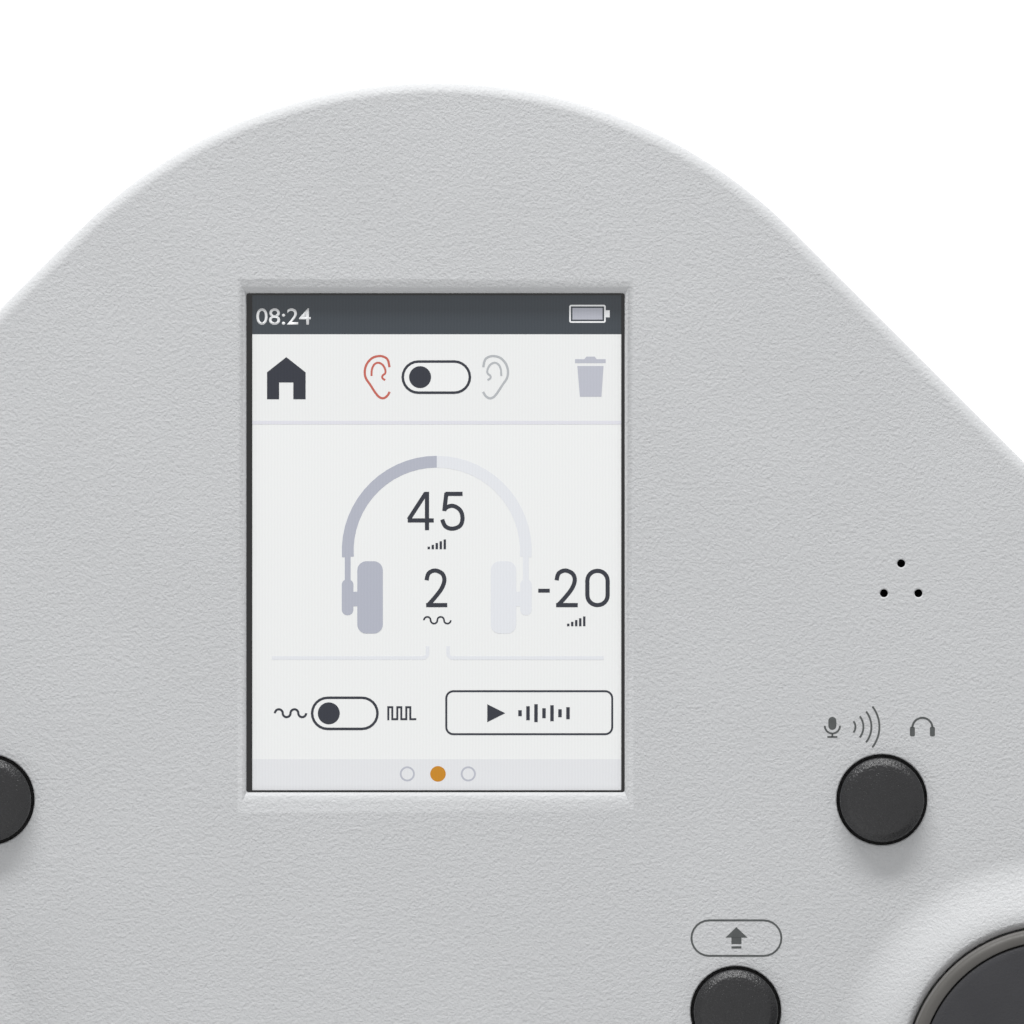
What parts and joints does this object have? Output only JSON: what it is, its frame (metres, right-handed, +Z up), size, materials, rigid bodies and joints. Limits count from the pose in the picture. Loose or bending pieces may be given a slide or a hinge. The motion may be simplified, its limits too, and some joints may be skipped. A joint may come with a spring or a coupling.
{
  "type": "portable audiometer",
  "caption": "Desk-top hearing tester: rounded three-cornered sloping console with a colour touch display, large turning knobs, sprung keys and a rear bay of sockets.",
  "frame": {"origin": "bottom centre of the whole object, on the table under the feet", "axes": "+Z up; the user sits on the -Y side and looks along +Y; +X to the user's right; the panel slopes up towards +Y by 8 degrees"},
  "size_m": [0.269, 0.1906, 0.0477],
  "materials": {
    "upper_shell": "fine leather grain, light grey",
    "lower_shell": "fine grain, grey",
    "socket_plate": "fine grain, dark grey",
    "gasket_foam": "closed-cell foam",
    "touch_glass": "polished with a dark printed edge",
    "display_image": "lit colour panel",
    "black_plastic": "satin",
    "knob_rim": "satin, mid grey",
    "knob_cap": "fine grain, dark grey",
    "key_rubber": "fine grain, near black",
    "plunger_plastic": "satin",
    "steel": "nickel plated",
    "circuit_board": "green solder mask",
    "ribbon_film": "amber film",
    "socket_plastic": "satin black",
    "battery_film": "shrink film",
    "contact_brass": "plated",
    "foot_rubber": "matt"
  },
  "bodies": {
    "console": {"top_shell": "upper_shell", "bottom_shell": "lower_shell", "battery_door": "lower_shell", "rear_plate": "socket_plate", "display_gasket": "gasket_foam", "touch_glass": "touch_glass", "display_panel": "display_image", "display_frame": "black_plastic", "key_switches": "black_plastic", "left_encoder": "black_plastic", "right_encoder": "black_plastic", "left_encoder_nut": "steel", "right_encoder_nut": "steel", "jack_nuts": "steel", "data_port": "steel", "microphone": "steel", "shield_can": "steel", "case_screws": "steel", "board_screws": "steel", "door_screw": "steel", "main_board": "circuit_board", "left_key_board": "circuit_board", "right_key_board": "circuit_board", "socket_board": "circuit_board", "display_ribbon": "ribbon_film", "left_ribbon": "ribbon_film", "right_ribbon": "ribbon_film", "socket_ribbon": "ribbon_film", "left_phones_jack": "socket_plastic", "right_phones_jack": "socket_plastic", "bone_jack": "socket_plastic", "response_jack": "socket_plastic", "battery_pack": "battery_film", "battery_contacts": "contact_brass", "rubber_feet": "foot_rubber", "microphone_boot": "foot_rubber"},
    "left_knob": {"left_knob": "knob_rim", "left_knob_cap": "knob_cap", "left_encoder_shaft": "steel"},
    "right_knob": {"right_knob": "knob_rim", "right_knob_cap": "knob_cap", "right_encoder_shaft": "steel"},
    "talk_button": {"talk_button": "key_rubber", "talk_plunger": "plunger_plastic"},
    "function_button": {"function_button": "key_rubber", "function_plunger": "plunger_plastic"},
    "power_button": {"power_button": "key_rubber", "power_plunger": "plunger_plastic"},
    "left_stimulus_key": {"left_stimulus_key": "key_rubber", "left_stimulus_plunger": "plunger_plastic"},
    "right_stimulus_key": {"right_stimulus_key": "key_rubber", "right_stimulus_plunger": "plunger_plastic"}
  },
  "joints": [
    {"name": "left_knob_turn", "type": "hinge", "parent": "console", "child": "left_knob", "pos_m": [-0.0805, -0.03698, 0.03027], "axis": [0, -0.1392, 0.9903], "continuous": true},
    {"name": "right_knob_turn", "type": "hinge", "parent": "console", "child": "right_knob", "pos_m": [0.0805, -0.03698, 0.03027], "axis": [0, -0.1392, 0.9903], "continuous": true},
    {"name": "talk_button_press", "type": "slide", "parent": "console", "child": "talk_button", "axis": [0, 0.1392, -0.9903], "range_m": [0, 0.0008], "stiffness_N_per_m": 1500, "springref_m": -0.0004},
    {"name": "function_button_press", "type": "slide", "parent": "console", "child": "function_button", "axis": [0, 0.1392, -0.9903], "range_m": [0, 0.0008], "stiffness_N_per_m": 1500, "springref_m": -0.0004},
    {"name": "power_button_press", "type": "slide", "parent": "console", "child": "power_button", "axis": [0, 0.1392, -0.9903], "range_m": [0, 0.0008], "stiffness_N_per_m": 1500, "springref_m": -0.0004},
    {"name": "left_stimulus_key_press", "type": "slide", "parent": "console", "child": "left_stimulus_key", "axis": [0, 0.1392, -0.9903], "range_m": [0, 0.0008], "stiffness_N_per_m": 1500, "springref_m": -0.0004},
    {"name": "right_stimulus_key_press", "type": "slide", "parent": "console", "child": "right_stimulus_key", "axis": [0, 0.1392, -0.9903], "range_m": [0, 0.0008], "stiffness_N_per_m": 1500, "springref_m": -0.0004}
  ]
}
